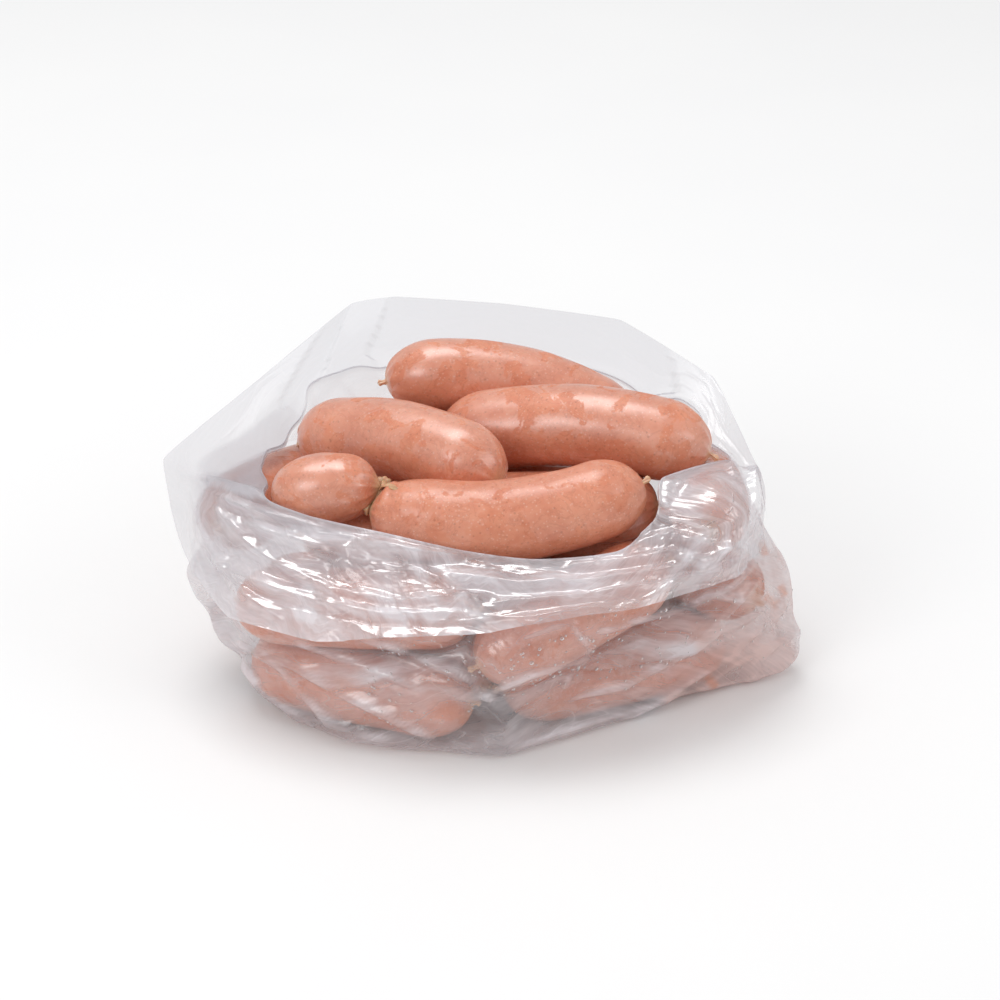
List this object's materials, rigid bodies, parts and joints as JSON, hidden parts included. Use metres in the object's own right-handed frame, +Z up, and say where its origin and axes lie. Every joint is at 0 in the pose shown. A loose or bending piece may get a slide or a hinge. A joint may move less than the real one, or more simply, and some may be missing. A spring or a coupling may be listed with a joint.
{
  "type": "bag of sausage links",
  "caption": "Open clear plastic bag filled with short thick sausage links, its mouth turned out as a cuff at the front and a wide flared collar at the back.",
  "frame": {"origin": "middle of the footprint of the whole, at the floor the bag stands on", "axes": "+X to the right of the bag's front, +Y away from the viewer, towards the collar that stands out at the back, +Z up"},
  "size_m": [0.2944, 0.2028, 0.1386],
  "materials": {
    "sausage": null,
    "casing": "dry twisted tan casing end",
    "film": "thin clear plastic film, glossy and creased, with a faint milky tone"
  },
  "bodies": {
    "root": {"link_back": "sausage", "link_right": "sausage", "link_left": "sausage", "link_front": "sausage", "link_short": "sausage", "link_behind": "sausage", "link_low_left": "sausage", "link_low_right": "sausage", "link_slant": "sausage", "link_middle_left": "sausage", "link_far_left": "sausage", "link_far_right": "sausage", "link_row1_1": "sausage", "link_row1_2": "sausage", "link_row1_3": "sausage", "link_row2_1": "sausage", "link_row2_2": "sausage", "link_row2_3": "sausage", "link_row2_4": "sausage", "link_row3_1": "sausage", "casing_twist": "casing", "bag_film": "film"}
  },
  "joints": []
}
